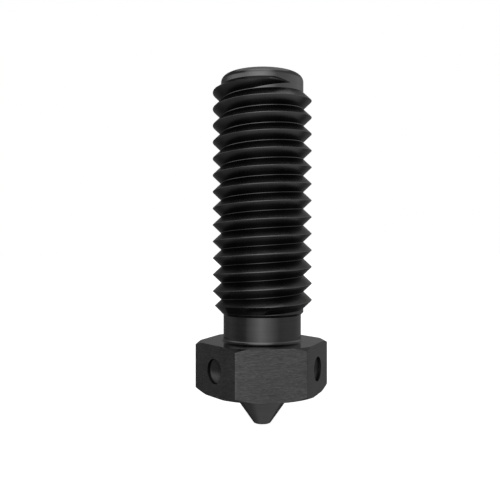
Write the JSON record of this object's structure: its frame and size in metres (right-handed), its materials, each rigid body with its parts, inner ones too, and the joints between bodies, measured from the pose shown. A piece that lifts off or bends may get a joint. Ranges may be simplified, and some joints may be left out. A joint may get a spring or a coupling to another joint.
{
  "type": "3d printer nozzle",
  "caption": "Long threaded extruder nozzle in blackened steel with a plain neck, a hexagon with drilled marks and a conical tip.",
  "frame": {"origin": "centre of the flat end of the tip, where the orifice opens", "axes": "+Z along the nozzle's axis, from the tip to the end that meets the heat break; two corners of the hexagon lie on the X axis, and the plain flats of the hexagon face -Y and +Y"},
  "size_m": [0.008, 0.007, 0.021],
  "materials": {
    "blackened_steel": "blackened hardened steel, satin, with fine turning and milling marks"
  },
  "bodies": {
    "root": {"nozzle": "blackened_steel"}
  },
  "joints": []
}
